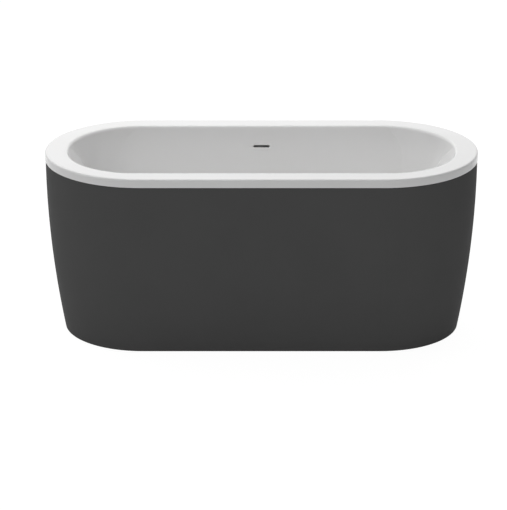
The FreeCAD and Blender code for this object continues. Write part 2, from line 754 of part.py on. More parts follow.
def make_cradle_screws():
    body = new_body("cradle_screws", z=tube_bottom)
    heads = sketch(body, "cradle_heads")
    shanks = sketch(body, "cradle_shanks")
    for side in (-1, 1):
        for end in (-1, 1):
            x = side * crossbar_reach
            y = end * size.cradle_screw_spacing / 2
            circle(heads, size.cradle_screw_head, x, y)
            circle(shanks, size.cradle_screw_shank, x, y)
    pad(body, heads, size.screw_head_height, back=True)
    pad(body, shanks, size.tube_size + size.cradle_screw_grip)
    return [body]


def make_buffers():
    """Rubber blocks between the crossbars' ends and the curved inside of the skirt."""
    body = new_body("skirt_buffers")
    near = crossbar_half + size.cap_plate
    blocks = []
    for side in (-1, 1):
        profile = sketch(body, "buffer_profile", "YZ_Plane", level=side * crossbar_reach)
        outline(profile, [
            (near, buffer_low), (skirt_inner_face(skirt_top - buffer_low), buffer_low),
            (skirt_inner_face(skirt_top - buffer_high), buffer_high), (near, buffer_high),
        ], {1: skirt_curve - size.skirt_wall})
        blocks.append(pad(body, profile, size.buffer_width, middle=True))
    mirror(body, blocks, "XZ_Plane", "buffers_other_side")
    return [body]


# ---------------------------------------------------------------- feet

foot_places = [(-1, -1), (1, -1), (1, 1), (-1, 1)]


def make_feet():
    bodies = []
    for index, (side, end) in enumerate(foot_places, start=1):
        x = side * crossbar_reach
        y = end * foot_reach
        foot = new_body("foot_pad_%d" % index, x, y)
        section = sketch(foot, "pad_section_%d" % index, "XZ_Plane")
        socket = size.rod_radius + size.socket_play
        socket_floor = size.rod_stand - size.socket_play
        outline(section, [
            (0, 0), (size.pad_radius, 0), (size.pad_radius, size.pad_edge),
            (size.pad_hub, size.pad_height), (socket, size.pad_height), (socket, socket_floor),
            (0, socket_floor),
        ], {2: -size.pad_sweep})
        revolve(foot, section)
        rib = sketch(foot, "pad_rib_%d" % index, "XZ_Plane")
        rib_root = size.pad_hub - size.pad_rib_width
        outline(rib, [
            (rib_root, size.pad_edge / 2), (size.pad_radius - size.pad_rib_inset, size.pad_edge / 2),
            (size.pad_radius - size.pad_rib_inset, size.pad_edge),
            (size.pad_hub, size.pad_height - size.pad_rib_drop),
            (rib_root, size.pad_height - size.pad_rib_drop),
        ])
        rib_pad = pad(foot, rib, size.pad_rib_width, middle=True)
        around(foot, [rib_pad], size.pad_ribs, "pad_rib_ring_%d" % index)
        rod = new_body("foot_rod_%d" % index, x, y)
        shaft = sketch(rod, "rod_section_%d" % index, "XZ_Plane")
        tip = size.rod_radius / 6
        top = board_bottom + size.nut_height + size.rod_tail
        outline(shaft, [
            (0, size.rod_stand), (size.rod_radius - tip, size.rod_stand),
            (size.rod_radius, size.rod_stand + tip), (size.rod_radius, top - tip),
            (size.rod_radius - tip, top), (0, top),
        ])
        revolve(rod, shaft)
        collar = sketch(rod, "rod_collar_%d" % index, level=size.pad_height + size.collar_gap)
        hexagon(collar, size.collar_flats)
        pad(rod, collar, size.collar_height)
        bodies += [foot, rod]
    return bodies


def make_nuts(label, level):
    """Four nuts in one level, one on each foot rod."""
    body = new_body(label, z=level)
    plan = sketch(body, label + "_plan")
    for side, end in foot_places:
        x = side * crossbar_reach
        y = end * foot_reach
        hexagon(plan, size.nut_flats, x, y)
        circle(plan, size.rod_radius + size.thread_clearance, x, y)
    pad(body, plan, size.nut_height)
    return [body]


# ---------------------------------------------------------------- waste fitting and plug

waste_seat = floor_top - size.flange_thickness
dish_edge = size.plug_radius + size.dish_margin
socket_radius = size.hose_radius + size.spigot_play
spigot_radius = socket_radius + size.spigot_wall
hose_bore = size.hose_radius - size.hose_wall


def ring(label, inner, outer, bottom, height):
    """A flat ring round the waste's axis."""
    body = new_body(label, z=bottom)
    plan = sketch(body, label + "_plan")
    circle(plan, outer)
    circle(plan, inner)
    pad(body, plan, height)
    return body


def make_waste_flange():
    body = new_body("waste_flange")
    bore = size.tail_radius - size.tail_wall
    section = sketch(body, "waste_flange_section", "XZ_Plane")
    outline(section, [
        (bore, waste_seat - size.tail_length), (size.tail_radius, waste_seat - size.tail_length),
        (size.tail_radius, waste_seat), (size.flange_radius, waste_seat),
        (size.flange_radius, floor_top), (dish_edge, floor_top),
        (size.tail_radius, floor_top - size.flange_dish), (bore, floor_top - size.flange_dish),
    ])
    revolve(body, section)
    strainer_top = floor_top - size.flange_dish - size.hub_drop
    arms_along = sketch(body, "strainer_arm_x", level=strainer_top)
    arms_across = sketch(body, "strainer_arm_y", level=strainer_top)
    reach = size.tail_radius - size.tail_wall / 2
    centred_box(arms_along, 0, 0, reach, size.arm_width / 2)
    centred_box(arms_across, 0, 0, size.arm_width / 2, reach)
    hub = sketch(body, "strainer_hub", level=strainer_top)
    circle(hub, size.hub_radius)
    for drawing in (arms_along, arms_across, hub):
        pad(body, drawing, size.hub_height, back=True)
    hole = sketch(body, "strainer_bore", level=strainer_top)
    circle(hole, size.spindle_radius + size.spindle_play)
    pocket(body, hole, size.hub_height)
    return [body]


def make_plug():
    """Rising plug: cap, seal and spindle, drawn from the level of the basin floor."""
    cap = new_body("plug_cap", z=floor_top)
    section = sketch(cap, "plug_cap_section", "XZ_Plane")
    dome_chord = size.plug_radius * size.plug_radius + size.plug_dome * size.plug_dome
    dome_radius = dome_chord / (2 * size.plug_dome)
    edge_top = size.plug_gap + size.plug_edge
    outline(section, [
        (0, -size.plug_boss_drop), (size.plug_boss_radius, -size.plug_boss_drop),
        (size.plug_boss_radius, size.plug_gap), (size.plug_radius, size.plug_gap),
        (size.plug_radius, edge_top), (0, edge_top + size.plug_dome),
    ], {4: dome_radius})
    disc = revolve(cap, section)
    doc.recompute()
    brow = level_edges(disc.Shape, edge_top.number, lambda point: True)
    fillet(cap, disc, brow, size.plug_rounding, "plug_brow")
    seal = new_body("plug_seal", z=floor_top)
    lip = sketch(seal, "plug_seal_section", "XZ_Plane")
    dish_slope = size.flange_dish / (dish_edge - size.tail_radius)
    outer = size.plug_radius - size.seal_margin
    inner = size.tail_radius + size.seal_margin
    outline(lip, [
        (inner, size.plug_gap - (dish_edge - inner) * dish_slope),
        (outer, size.plug_gap - (dish_edge - outer) * dish_slope),
        (outer, size.plug_gap), (inner, size.plug_gap),
    ])
    revolve(seal, lip)
    spindle = new_body("plug_spindle", z=floor_top)
    rod = sketch(spindle, "spindle_section", "XZ_Plane")
    collar_top = -size.flange_dish - size.hub_drop - size.hub_height - size.plug_travel - size.plug_gap
    outline(rod, [
        (0, collar_top - size.spindle_collar),
        (size.spindle_collar_radius, collar_top - size.spindle_collar),
        (size.spindle_collar_radius, collar_top), (size.spindle_radius, collar_top),
        (size.spindle_radius, -size.plug_boss_drop), (0, -size.plug_boss_drop),
    ])
    revolve(spindle, rod)
    return [cap, seal, spindle]


body_top = floor_underside - size.lower_gasket
body_bottom = body_top - size.body_length
inlet_height = body_top - size.inlet_drop


def make_waste_body():
    """Waste body: a barrel under the floor with a side inlet for the overflow."""
    body = new_body("waste_body")
    outside = sketch(body, "waste_body_outside", "XZ_Plane")
    taper = size.body_radius - size.outlet_radius
    outline(outside, [
        (0, body_bottom - size.outlet_length), (size.outlet_radius, body_bottom - size.outlet_length),
        (size.outlet_radius, body_bottom), (size.body_radius, body_bottom + taper),
        (size.body_radius, body_top - size.body_flange_thickness),
        (size.body_flange, body_top - size.body_flange_thickness), (size.body_flange, body_top),
        (0, body_top),
    ])
    revolve(body, outside)
    rib = sketch(body, "waste_rib", "XZ_Plane", level=0)
    rib_top = body_top - size.body_flange_thickness / 2
    outline(rib, [
        (size.body_radius - size.body_rib_width, rib_top - size.body_rib_height),
        (size.body_radius, rib_top - size.body_rib_height),
        (size.body_flange - size.body_rib_width, rib_top),
        (size.body_radius - size.body_rib_width, rib_top),
    ])
    around(body, [pad(body, rib, size.body_rib_width, middle=True)], size.body_ribs, "waste_ribs")
    inlet = sketch(body, "waste_inlet", "XZ_Plane")
    circle(inlet, spigot_radius, 0, inlet_height)
    pad(body, inlet, size.inlet_reach, back=True)
    inside = sketch(body, "waste_body_inside", "XZ_Plane")
    bore = size.tail_radius + size.thread_clearance
    way_out = size.outlet_radius - size.outlet_wall
    outline(inside, [
        (0, body_bottom - size.outlet_length), (way_out, body_bottom - size.outlet_length),
        (way_out, body_bottom), (bore, body_bottom + taper), (bore, body_top), (0, body_top),
    ])
    groove(body, inside)
    channel = sketch(body, "waste_inlet_channel", "XZ_Plane")
    circle(channel, hose_bore, 0, inlet_height)
    pocket(body, channel, size.inlet_reach)
    socket = sketch(body, "waste_inlet_socket", "XZ_Plane", level=-size.inlet_reach)
    circle(socket, socket_radius, 0, inlet_height)
    pocket(body, socket, size.spigot_grip, back=True)
    return [body]


def make_waste():
    inner = size.tail_radius + size.thread_clearance
    upper = ring("waste_gasket_upper", inner, size.flange_radius, waste_seat - size.gasket_thickness,
                 size.gasket_thickness)
    lower = ring("waste_gasket_lower", inner, size.body_flange, body_top, size.lower_gasket)
    return make_waste_flange() + [upper, lower] + make_waste_body() + make_plug()


# ---------------------------------------------------------------- overflow channel

slot_level = rim_top - size.slot_drop
wall_back = opening_half_width + size.shell_wall - size.slot_drop * wall_draft
tilt_cosine = 1 / root(1 + wall_draft * wall_draft)
tilt_sine = wall_draft * tilt_cosine
box_bottom = size.box_above_slot - size.box_height
box_middle = size.box_above_slot - size.box_height / 2
spigot_axis = size.bond_thickness + size.box_depth / 2


def lean(body):
    """Leans a body back with the basin wall, at the middle of the overflow slot."""
    body.Placement = FreeCAD.Placement(V(), FreeCAD.Rotation(V(1, 0, 0), -1))
    place(body, 0, wall_back, slot_level)
    body.setExpression("Placement.Rotation.Angle", "0 deg - atan(%s)" % wall_draft.formula)


def make_overflow_box():
    half_width = size.box_width / 2
    half_height = size.box_height / 2
    gasket = new_body("overflow_gasket")
    lean(gasket)
    frame = sketch(gasket, "overflow_gasket_plan", "XZ_Plane")
    box = new_body("overflow_box")
    lean(box)
    flange = sketch(box, "overflow_flange", "XZ_Plane", level=-size.bond_thickness)
    for drawing in (frame, flange):
        rounded_box(drawing, half_width + size.box_flange, half_height + size.box_flange,
                    size.box_corner + size.box_flange, 0, box_middle)
        rounded_box(drawing, half_width - size.box_wall, half_height - size.box_wall,
                    size.box_corner - size.box_wall, 0, box_middle)
    pad(gasket, frame, size.bond_thickness, back=True)
    pad(box, flange, size.box_wall, back=True)
    walls = sketch(box, "overflow_walls", "XZ_Plane", level=-size.bond_thickness)
    rounded_box(walls, half_width, half_height, size.box_corner, 0, box_middle)
    shell = pad(box, walls, size.box_depth, back=True)
    doc.recompute()
    back_edges = []
    for index, edge in enumerate(shell.Shape.Edges, start=1):
        span = edge.BoundBox
        if span.YMin > (size.bond_thickness + size.box_depth).number - 0.001:
            back_edges.append("Edge%d" % index)
    fillet(box, shell, back_edges, size.box_back_radius, "overflow_back_rounding")
    spigot = sketch(box, "overflow_spigot", level=box_bottom + size.box_wall)
    circle(spigot, spigot_radius, 0, spigot_axis)
    pad(box, spigot, size.spigot_length + size.box_wall, back=True)
    room = sketch(box, "overflow_room", "XZ_Plane", level=-size.bond_thickness)
    rounded_box(room, half_width - size.box_wall, half_height - size.box_wall,
                size.box_corner - size.box_wall, 0, box_middle)
    pocket(box, room, size.box_depth - size.box_wall)
    drain = sketch(box, "overflow_drain", level=box_bottom + size.box_wall)
    circle(drain, hose_bore, 0, spigot_axis)
    pocket(box, drain, size.spigot_length + size.box_wall)
    socket = sketch(box, "overflow_socket", level=box_bottom - size.spigot_length)
    circle(socket, socket_radius, 0, spigot_axis)
    pocket(box, socket, size.spigot_grip, back=True)
    return [gasket, box]


def leaned(depth, height):
    """World y and z of a point drawn in the leaning frame of the overflow box."""
    y = wall_back + depth * tilt_cosine + height * tilt_sine
    z = slot_level - depth * tilt_sine + height * tilt_cosine
    return y, z


def make_overflow_hose():
    """Hose from the overflow box down beside the basin and in to the waste body."""
    body = new_body("overflow_hose")
    start_y, start_z = leaned(spigot_axis, box_bottom - size.spigot_length + size.spigot_grip)
    turn_y = start_y - (start_z - inlet_height) * tilt_sine / tilt_cosine
    tangent = size.hose_bend * (1 - tilt_sine) / tilt_cosine
    end_y = size.inlet_reach - size.spigot_grip
    path = sketch(body, "hose_path", "YZ_Plane")
    outline(path, [
        (start_y, start_z),
        (turn_y + tangent * tilt_sine, inlet_height + tangent * tilt_cosine),
        (turn_y - tangent, inlet_height), (end_y, inlet_height),
    ], {1: -size.hose_bend}, closed=False)
    section = body.newObject("Sketcher::SketchObject", "hose_section")
    section.AttachmentSupport = [(path, "Edge1")]
    section.MapMode = "NormalToEdge"
    circle(section, size.hose_radius)
    circle(section, hose_bore)
    hose = body.newObject("PartDesign::AdditivePipe", "hose_sweep")
    hose.Profile = section
    hose.Spine = (path, ["Edge1", "Edge2", "Edge3"])
    return [body]


def union(title, inner, lip_bore, outer, length, body_placing):
    """A union nut with its seal: the nut runs up from 0, its lip and seal are at the far end."""
    nut = new_body(title + "_nut")
    seal = new_body(title + "_seal")
    for body in (nut, seal):
        body_placing(body)
    section = sketch(nut, title + "_nut_section", "XZ_Plane")
    outline(section, [
        (inner + size.nut_play, 0), (outer, 0), (outer, length), (lip_bore, length),
        (lip_bore, length - size.nut_lip), (inner + size.nut_play, length - size.nut_lip),
    ])
    revolve(nut, section)
    grip = sketch(nut, title + "_grip")
    grip_side = size.grip_width / 2
    rectangle(grip, outer - size.grip_height, -grip_side, outer + size.grip_height, grip_side)
    grip_pad = pad(nut, grip, length - size.nut_lip)
    around(nut, [grip_pad], size.grip_count, title + "_grips")
    washer = sketch(seal, title + "_seal_plan", level=length - size.nut_lip - size.union_seal)
    circle(washer, inner)
    circle(washer, lip_bore)
    pad(seal, washer, size.union_seal)
    return [nut, seal]


def make_hose_unions():
    engaged = size.hose_nut_length - size.nut_lip - size.union_seal

    def on_waste(body):
        body.Placement = FreeCAD.Placement(V(), FreeCAD.Rotation(V(1, 0, 0), -90))
        place(body, 0, size.inlet_reach - engaged, inlet_height)

    def on_box(body):
        y, z = leaned(spigot_axis, box_bottom - size.spigot_length + engaged)
        body.Placement = FreeCAD.Placement(V(), FreeCAD.Rotation(V(1, 0, 0), 179))
        place(body, 0, y, z)
        body.setExpression("Placement.Rotation.Angle", "180 deg - atan(%s)" % wall_draft.formula)

    sizes = (spigot_radius, socket_radius, size.hose_nut_radius, size.hose_nut_length)
    return union("hose_lower", *sizes, on_waste) + union("hose_upper", *sizes, on_box)


# ---------------------------------------------------------------- trap

neck_seat = body_bottom - size.outlet_length
neck_top = neck_seat + size.trap_grip
trap_top = neck_top - size.trap_neck
trap_floor = trap_top - size.trap_height
trap_outlet_height = trap_floor + size.trap_outlet_rise
neck_bore = size.outlet_radius + size.pipe_play
neck_radius = neck_bore + size.trap_wall
pipe_bore = size.pipe_radius + size.pipe_play
trap_outlet_radius = pipe_bore + size.trap_wall


def make_trap_body():
    """Shallow cup with a dip tube in its middle and a side outlet towards -X."""
    body = new_body("trap_body")
    outside = sketch(body, "trap_outside", "XZ_Plane")
    shoulder = size.trap_shoulder
    outline(outside, [
        (0, trap_floor), (size.trap_radius - shoulder, trap_floor),
        (size.trap_radius, trap_floor + shoulder), (size.trap_radius, trap_top - shoulder),
        (size.trap_radius - shoulder, trap_top), (neck_radius, trap_top), (neck_radius, neck_top),
        (0, neck_top),
    ], {1: shoulder, 3: shoulder})
    revolve(body, outside)
    outlet = sketch(body, "trap_outlet", "YZ_Plane")
    circle(outlet, trap_outlet_radius, 0, trap_outlet_height)
    pad(body, outlet, size.trap_outlet_reach, back=True)
    inside = sketch(body, "trap_inside", "XZ_Plane")
    cup = size.trap_radius - size.trap_wall
    dip_outer = size.outlet_radius
    dip_inner = size.outlet_radius - size.outlet_wall
    dip_end = trap_top - size.dip_depth
    low = trap_floor + size.trap_wall
    high = trap_top - size.trap_wall
    outline(inside, [
        (0, low), (cup, low), (cup, high), (dip_outer, high), (dip_outer, dip_end),
        (dip_inner, dip_end), (dip_inner, neck_seat),
        (neck_bore, neck_seat), (neck_bore, neck_top), (0, neck_top),
    ])
    groove(body, inside)
    way_out = sketch(body, "trap_way_out", "YZ_Plane", level=-size.trap_outlet_reach)
    circle(way_out, size.pipe_radius - size.trap_wall, 0, trap_outlet_height)
    pocket(body, way_out, size.trap_outlet_reach - cup + size.trap_wall, back=True)
    socket = sketch(body, "trap_socket", "YZ_Plane", level=-size.trap_outlet_reach)
    circle(socket, pipe_bore, 0, trap_outlet_height)
    pocket(body, socket, size.pipe_socket, back=True)
    return [body]


def make_trap():
    engaged = size.trap_nut_length - size.nut_lip - size.union_seal

    def on_neck(body):
        place(body, 0, 0, neck_top - engaged)

    def on_outlet(body):
        body.Placement = FreeCAD.Placement(V(), FreeCAD.Rotation(V(0, 1, 0), -90))
        place(body, engaged - size.trap_outlet_reach, 0, trap_outlet_height)

    cap = new_body("trap_cap", z=trap_floor - size.trap_cap_height)
    disc = sketch(cap, "trap_cap_plan")
    cap_radius = size.trap_radius - 2 * size.trap_shoulder
    circle(disc, cap_radius)
    pad(cap, disc, size.trap_cap_height)
    notch = sketch(cap, "trap_cap_notch")
    circle(notch, size.grip_width, cap_radius + size.grip_width / 2)
    notch_cut = pocket(cap, notch, size.trap_cap_height, back=True)
    around(cap, [notch_cut], size.grip_count, "trap_cap_notches")
    neck_nut = union("trap_inlet", neck_radius, neck_bore, neck_radius + size.trap_nut_wall,
                     size.trap_nut_length, on_neck)
    outlet_nut = union("trap_outlet", trap_outlet_radius, pipe_bore, trap_outlet_radius + size.trap_nut_wall,
                       size.trap_nut_length, on_outlet)
    return make_trap_body() + neck_nut + outlet_nut + [cap]


# ---------------------------------------------------------------- assemble, check and export

parts = []
parts += make_tub_shell()
parts += make_skirt()
parts += make_rim_seal()
parts += make_battens()
parts += make_flange_screws()
parts += make_base_board()
parts += make_cradle()
parts += make_tube_caps()
parts += make_cradle_screws()
parts += make_buffers()
parts += make_feet()
parts += make_nuts("weld_nuts", board_bottom)
parts += make_nuts("lock_nuts", tube_bottom - size.nut_height)
parts += make_waste()
parts += make_overflow_box()
parts += make_overflow_hose()
parts += make_hose_unions()
parts += make_trap()

doc.recompute()
for item in doc.Objects:
    if "Invalid" in item.State or "Error" in item.State:
        raise RuntimeError("%s failed: %s" % (item.Label, item.State))
for cut in cuts:
    if cut.Shape.Volume >= cut.BaseFeature.Shape.Volume - 0.001:
        raise RuntimeError("%s removes nothing" % cut.Label)
for item in parts:
    if item.Shape.isNull() or not item.Shape.isValid():
        raise RuntimeError("%s has no valid shape" % item.Label)
os.makedirs("parts", exist_ok=True)
for item in parts:
    item.Shape.exportStep("parts/%s.step" % item.Label)
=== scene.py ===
"""Looks of the freestanding bathtub: materials, finer shapes of hidden parts, studio and camera.

Lengths are in metres and watts are a lamp's whole power. Colours are linear; grey takes its level
in sRGB and gives a linear colour.
"""
import json
import math

import bpy
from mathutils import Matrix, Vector

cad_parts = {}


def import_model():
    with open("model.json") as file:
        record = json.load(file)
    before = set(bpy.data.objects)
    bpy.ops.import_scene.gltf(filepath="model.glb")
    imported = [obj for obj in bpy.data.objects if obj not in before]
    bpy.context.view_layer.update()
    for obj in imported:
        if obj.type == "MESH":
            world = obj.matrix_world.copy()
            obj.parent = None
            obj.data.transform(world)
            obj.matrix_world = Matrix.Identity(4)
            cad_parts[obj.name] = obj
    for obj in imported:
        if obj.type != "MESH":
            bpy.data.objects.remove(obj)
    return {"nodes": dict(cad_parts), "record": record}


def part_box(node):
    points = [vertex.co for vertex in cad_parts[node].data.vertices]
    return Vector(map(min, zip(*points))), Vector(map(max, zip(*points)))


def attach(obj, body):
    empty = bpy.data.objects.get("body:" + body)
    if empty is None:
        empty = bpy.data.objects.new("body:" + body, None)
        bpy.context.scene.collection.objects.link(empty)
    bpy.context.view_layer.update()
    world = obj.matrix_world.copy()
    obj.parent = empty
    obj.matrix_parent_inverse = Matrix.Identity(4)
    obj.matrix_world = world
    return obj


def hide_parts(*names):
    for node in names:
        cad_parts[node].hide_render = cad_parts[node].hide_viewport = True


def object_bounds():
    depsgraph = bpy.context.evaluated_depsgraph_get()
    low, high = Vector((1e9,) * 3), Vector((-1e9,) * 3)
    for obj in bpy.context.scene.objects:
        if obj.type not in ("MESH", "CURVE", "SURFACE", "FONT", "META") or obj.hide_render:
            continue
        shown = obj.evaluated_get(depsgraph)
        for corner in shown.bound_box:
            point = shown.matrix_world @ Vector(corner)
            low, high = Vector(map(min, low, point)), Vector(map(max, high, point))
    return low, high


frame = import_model()
cad_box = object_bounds()
nodes = frame["nodes"]


# ---------------------------------------------------------------- material helpers

NOISE_LOW, NOISE_HIGH = 0.3, 0.7
# sockets of a Mix node of colours: the share and the two colours going in, then the one coming out
MIX_SHARE, MIX_FIRST, MIX_SECOND = 0, 6, 7
MIXED_COLOUR = 2


def srgb(level):
    """Linear value of an sRGB grey level from 0 to 1."""
    return level / 12.92 if level <= 0.04045 else ((level + 0.055) / 1.055) ** 2.4


def grey(level, warmth=0.0):
    """Linear colour of an sRGB grey, a little warmer or cooler."""
    return (srgb(level * (1 + warmth)), srgb(level), srgb(level * (1 - warmth)), 1.0)


class Shader:
    """A Principled material whose colour, roughness and bump come from procedural nodes."""

    def __init__(self, name, roughness, metallic=0.0, ior=1.5):
        self.material = bpy.data.materials.new(name)
        self.material.use_nodes = True
        self.tree = self.material.node_tree
        self.surface = self.tree.nodes["Principled BSDF"]
        self.surface.inputs["Roughness"].default_value = roughness
        self.surface.inputs["Metallic"].default_value = metallic
        self.surface.inputs["IOR"].default_value = ior
        self.place = self.node("ShaderNodeTexCoord").outputs["Object"]
        self.normal = None

    def node(self, kind, **settings):
        """A new node of the material with its properties set."""
        made = self.tree.nodes.new(kind)
        for key, value in settings.items():
            setattr(made, key, value)
        return made

    def link(self, source, target):
        self.tree.links.new(source, target)

    def stretched(self, scale):
        """Object coordinates scaled along each axis."""
        mapping = self.node("ShaderNodeMapping")
        mapping.inputs["Scale"].default_value = scale
        self.link(self.place, mapping.inputs["Vector"])
        return mapping.outputs["Vector"]

    def noise(self, scale, detail=2.0, rough=0.5, stretch=None):
        """Cloudy noise from 0 to 1; a small stretch factor draws it out along that axis."""
        made = self.node("ShaderNodeTexNoise")
        made.inputs["Scale"].default_value = scale
        made.inputs["Detail"].default_value = detail
        made.inputs["Roughness"].default_value = rough
        self.link(self.stretched(stretch) if stretch else self.place, made.inputs["Vector"])
        return made.outputs["Fac"]

    def ramp(self, source, stops):
        """Colour ramp over a factor; stops are (position, colour)."""
        made = self.node("ShaderNodeValToRGB")
        elements = made.color_ramp.elements
        while len(elements) < len(stops):
            elements.new(0.5)
        for element, (position, colour) in zip(elements, stops):
            element.position = position
            element.color = colour
        self.link(source, made.inputs["Fac"])
        return made.outputs["Color"]

    def between(self, source, low, high):
        """Spread the middle part of a factor, where noise mostly lies, over a range of values."""
        made = self.node("ShaderNodeMapRange")
        made.inputs["From Min"].default_value = NOISE_LOW
        made.inputs["From Max"].default_value = NOISE_HIGH
        made.inputs["To Min"].default_value = low
        made.inputs["To Max"].default_value = high
        self.link(source, made.inputs["Value"])
        return made.outputs["Result"]

    def colour(self, source):
        self.link(source, self.surface.inputs["Base Color"])

    def rough(self, source):
        self.link(source, self.surface.inputs["Roughness"])

    def bump(self, source, strength, distance):
        """Raise the surface by a factor; a second bump lies on top of the first."""
        made = self.node("ShaderNodeBump")
        made.inputs["Strength"].default_value = strength
        made.inputs["Distance"].default_value = distance
        self.link(source, made.inputs["Height"])
        if self.normal is not None:
            self.link(self.normal, made.inputs["Normal"])
        self.normal = made.outputs["Normal"]
        self.link(self.normal, self.surface.inputs["Normal"])


# ---------------------------------------------------------------- materials

def acrylic():
    """Glossy sanitary acrylic: almost even white with a faint waviness from vacuum forming."""
    made = Shader("acrylic_white", 0.16, ior=1.49)
    cloud = made.noise(3.0, 3.0)
    made.colour(made.ramp(cloud, [(0.3, grey(0.925, 0.002)), (0.7, grey(0.935))]))
    made.rough(made.between(made.noise(14.0, 4.0), 0.13, 0.20))
    made.bump(made.noise(22.0, 1.0), 0.12, 0.0006)
    made.bump(made.noise(900.0, 2.0), 0.03, 0.0001)
    made.surface.inputs["Coat Weight"].default_value = 0.12
    made.surface.inputs["Coat Roughness"].default_value = 0.08
    return made.material


def skirt_paint():
    """Matt charcoal finish with a fine grain and a little cloudiness."""
    made = Shader("skirt_charcoal", 0.78, ior=1.45)
    made.surface.inputs["Specular IOR Level"].default_value = 0.06
    grain = made.noise(1400.0, 3.0, 0.6)
    cloud = made.noise(5.0, 3.0)
    mix = made.node("ShaderNodeMix", data_type="RGBA", blend_type="MIX")
    mix.inputs[MIX_SHARE].default_value = 0.5
    speckle = made.ramp(grain, [(0.35, grey(0.332)), (0.65, grey(0.362))])
    drift = made.ramp(cloud, [(0.35, grey(0.341)), (0.65, grey(0.353))])
    made.link(speckle, mix.inputs[MIX_FIRST])
    made.link(drift, mix.inputs[MIX_SECOND])
    made.colour(mix.outputs[MIXED_COLOUR])
    made.rough(made.between(grain, 0.72, 0.86))
    made.bump(grain, 0.25, 0.00025)
    return made.material


def speckled(name, level, spread, roughness, scale, depth=0.0002, warmth=0.0):
    """Moulded plastic, rubber or painted metal: a fine texture over a slightly uneven colour."""
    made = Shader(name, roughness)
    fine = made.noise(scale, 3.0)
    cloud = made.noise(9.0, 3.0)
    stops = [(0.35, grey(level - spread, warmth)), (0.65, grey(level + spread, warmth))]
    made.colour(made.ramp(cloud, stops))
    made.rough(made.between(fine, roughness - 0.06, roughness + 0.08))
    made.bump(fine, 0.3, depth)
    return made.material


def timber():
    """Sawn softwood with growth lines along its length."""
    made = Shader("timber", 0.7)
    wave = made.node("ShaderNodeTexWave", wave_type="BANDS", bands_direction="Y")
    wave.inputs["Scale"].default_value = 60.0
    wave.inputs["Distortion"].default_value = 3.5
    wave.inputs["Detail"].default_value = 2.0
    made.link(made.stretched((0.15, 1.0, 1.0)), wave.inputs["Vector"])
    stops = [(0.2, (0.50, 0.33, 0.17, 1)), (0.9, (0.68, 0.50, 0.29, 1))]
    made.colour(made.ramp(wave.outputs["Fac"], stops))
    made.bump(made.noise(300.0, 4.0, stretch=(0.1, 1.0, 1.0)), 0.35, 0.0005)
    return made.material


def chipboard():
    """Pressed board with flat flakes of several tones."""
    made = Shader("board", 0.78)
    flakes = made.node("ShaderNodeTexVoronoi")
    flakes.inputs["Scale"].default_value = 170.0
    made.link(made.stretched((1.0, 0.45, 1.0)), flakes.inputs["Vector"])
    tone = made.node("ShaderNodeSeparateColor")
    made.link(flakes.outputs["Color"], tone.inputs["Color"])
    stops = [(0.0, (0.30, 0.21, 0.12, 1)), (0.5, (0.44, 0.33, 0.20, 1)),
             (1.0, (0.56, 0.44, 0.28, 1))]
    made.colour(made.ramp(tone.outputs[0], stops))
    made.bump(flakes.outputs["Distance"], 0.4, 0.0006)
    return made.material


def zinc():
    """Bright zinc plate with the passivation's faint cloudiness."""
    made = Shader("zinc_steel", 0.32, metallic=1.0)
    cloud = made.noise(45.0, 4.0)
    stops = [(0.3, (0.50, 0.52, 0.55, 1)), (0.7, (0.66, 0.67, 0.66, 1))]
    made.colour(made.ramp(cloud, stops))
    made.rough(made.between(made.noise(300.0, 3.0), 0.26, 0.42))
    made.bump(made.noise(700.0, 2.0), 0.15, 0.0001)
    return made.material


def chrome():
    """Polished chrome with light wiping marks."""
    made = Shader("chrome", 0.06, metallic=1.0)
    wipes = made.noise(120.0, 4.0, stretch=(1.0, 0.2, 1.0))
    made.colour(made.ramp(wipes, [(0.3, (0.52, 0.53, 0.55, 1)), (0.7, (0.60, 0.61, 0.62, 1))]))
    made.rough(made.between(wipes, 0.04, 0.10))
    return made.material


slot_materials = {
    "acrylic_white": acrylic(),
    "skirt_charcoal": skirt_paint(),
    "rubber_black": speckled("rubber_black", 0.12, 0.015, 0.75, 500.0),
    "rubber_grey": speckled("rubber_grey", 0.38, 0.015, 0.72, 500.0),
    "timber": timber(),
    "board": chipboard(),
    "zinc_steel": zinc(),
    "frame_paint": speckled("frame_paint", 0.19, 0.01, 0.45, 900.0, 0.00012),
    "cap_plastic": speckled("cap_plastic", 0.13, 0.01, 0.5, 700.0),
    "foot_plastic": speckled("foot_plastic", 0.15, 0.012, 0.55, 700.0),
    "chrome": chrome(),
    "waste_plastic": speckled("waste_plastic", 0.88, 0.008, 0.34, 420.0, 0.00008),
    "nut_plastic": speckled("nut_plastic", 0.82, 0.008, 0.38, 420.0, 0.00008),
    "hose_plastic": speckled("hose_plastic", 0.76, 0.01, 0.42, 380.0, 0.0001, warmth=-0.01),
}

for part in frame["record"]["subparts"]:
    shown = nodes[part["node"]]
    shown.data.materials.clear()
    shown.data.materials.append(slot_materials[part["material_slot"]])


# ---------------------------------------------------------------- pieces with finer shapes

COLUMNS = 24


def skin(name, rings, closed, sharp_angle):
    """A smooth mesh through rings of points, capped at both ends or joined into a loop."""
    points = [point for ring in rings for point in ring]
    faces = []
    for ring in range(len(rings) if closed else len(rings) - 1):
        here, above = ring * COLUMNS, (ring + 1) % len(rings) * COLUMNS
        for column in range(COLUMNS):
            beside = (column + 1) % COLUMNS
            faces.append((here + column, here + beside, above + beside, above + column))
    if not closed:
        faces.append(tuple(reversed(range(COLUMNS))))
        faces.append(tuple(range(len(points) - COLUMNS, len(points))))
    mesh = bpy.data.meshes.new(name)
    mesh.from_pydata(points, [], faces)
    mesh.polygons.foreach_set("use_smooth", [True] * len(mesh.polygons))
    mesh.set_sharp_from_angle(angle=math.radians(sharp_angle))
    return mesh


